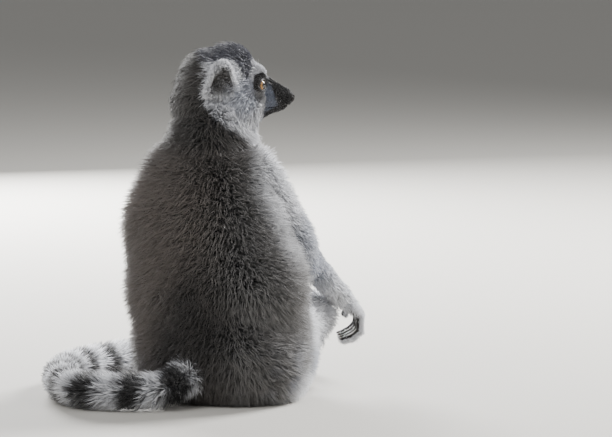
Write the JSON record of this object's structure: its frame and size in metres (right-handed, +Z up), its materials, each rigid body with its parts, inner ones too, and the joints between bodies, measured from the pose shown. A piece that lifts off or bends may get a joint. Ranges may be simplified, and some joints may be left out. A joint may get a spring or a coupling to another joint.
{
  "type": "ring-tailed lemur",
  "caption": "Ring-tailed lemur sitting upright on its rump with its feet forward, forearms over its knees, looking back over its right shoulder, the ringed tail laid round it.",
  "frame": {"origin": "the middle of the rump, on the floor that the animal sits on", "axes": "+Z up; the body faces -Y, so +X is the animal's left; the head is turned towards -X"},
  "size_m": [0.2935, 0.3486, 0.3635],
  "materials": {
    "back_fur": "long grizzled brownish-grey fur",
    "dark_fur": "dark grey to black fur",
    "pale_fur": "short light grey fur",
    "white_fur": "short white fur",
    "skin_leather": "bare black skin, slightly damp",
    "eye": "wet amber eye with a dark pupil"
  },
  "bodies": {
    "root": {"trunk": "back_fur", "neck": "dark_fur", "head": "pale_fur", "nose": "skin_leather", "eye_left": "eye", "ear_left": "white_fur", "thigh_left": "back_fur", "shank_left": "pale_fur", "foot_left": "pale_fur", "upper_arm_left": "back_fur", "forearm_left": "pale_fur", "hand_left": "white_fur", "eye_right": "eye", "ear_right": "white_fur", "thigh_right": "back_fur", "shank_right": "pale_fur", "foot_right": "pale_fur", "upper_arm_right": "back_fur", "forearm_right": "pale_fur", "hand_right": "white_fur", "tail_1": "dark_fur", "tail_2": "white_fur", "tail_3": "dark_fur", "tail_4": "white_fur", "tail_5": "dark_fur", "tail_6": "white_fur"}
  },
  "joints": []
}
